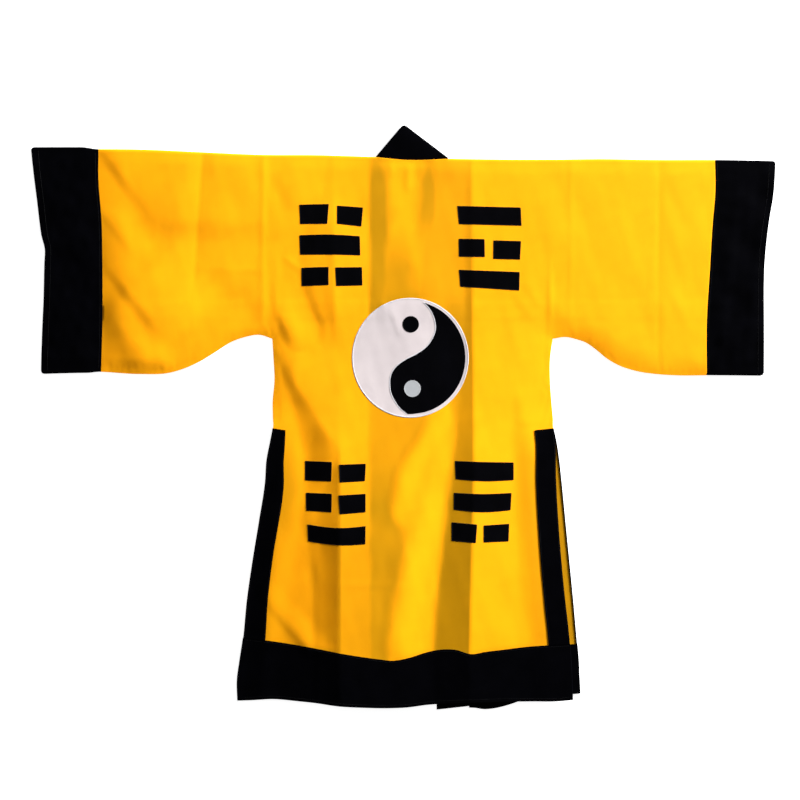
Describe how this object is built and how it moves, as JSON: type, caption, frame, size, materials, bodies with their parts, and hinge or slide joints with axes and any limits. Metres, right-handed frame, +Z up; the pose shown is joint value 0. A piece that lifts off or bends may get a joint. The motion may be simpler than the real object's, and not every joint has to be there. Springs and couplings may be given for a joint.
{
  "type": "taoist robe laid flat",
  "caption": "Wide golden yellow robe with black cuffs, collar, hem and slit bands, a round two-part emblem and four trigrams on its back, laid flat with the back up",
  "frame": {"origin": "on the surface that the robe lies on, under the middle of its outline", "axes": "+X to the wearer's right, along the outstretched sleeves; +Y from the hem to the collar; +Z up from the surface, out of the robe's back"},
  "size_m": [1.71, 1.3414, 0.0083],
  "materials": {
    "yellow_cloth": "smooth polyester weave, soft sheen",
    "black_cloth": "smooth polyester weave, soft sheen",
    "black_patch": "satin, stitched round its edge",
    "white_patch": "matt, with a satin stitch edge",
    "grey_patch": "matt, with a satin stitch edge"
  },
  "bodies": {
    "root": {"back": "yellow_cloth", "bar_lower_left_1a": "black_patch", "bar_lower_left_1b": "black_patch", "bar_lower_left_2a": "black_patch", "bar_lower_left_2b": "black_patch", "bar_lower_left_3": "black_patch", "bar_lower_right_1": "black_patch", "bar_lower_right_2": "black_patch", "bar_lower_right_3a": "black_patch", "bar_lower_right_3b": "black_patch", "bar_upper_left_1a": "black_patch", "bar_upper_left_1b": "black_patch", "bar_upper_left_2": "black_patch", "bar_upper_left_3a": "black_patch", "bar_upper_left_3b": "black_patch", "bar_upper_right_1": "black_patch", "bar_upper_right_2a": "black_patch", "bar_upper_right_2b": "black_patch", "bar_upper_right_3": "black_patch", "collar": "black_cloth", "cuff_left": "black_cloth", "cuff_right": "black_cloth", "emblem_dark_eye": "black_patch", "emblem_dark_half": "black_patch", "emblem_disc": "white_patch", "emblem_light_eye": "grey_patch", "front_left": "yellow_cloth", "front_right": "yellow_cloth", "hem_back": "black_cloth", "hem_front_left": "black_cloth", "hem_front_right": "black_cloth", "slit_band_back_left": "black_cloth", "slit_band_back_right": "black_cloth", "slit_band_front_left": "black_cloth", "slit_band_front_right": "black_cloth"}
  },
  "joints": []
}
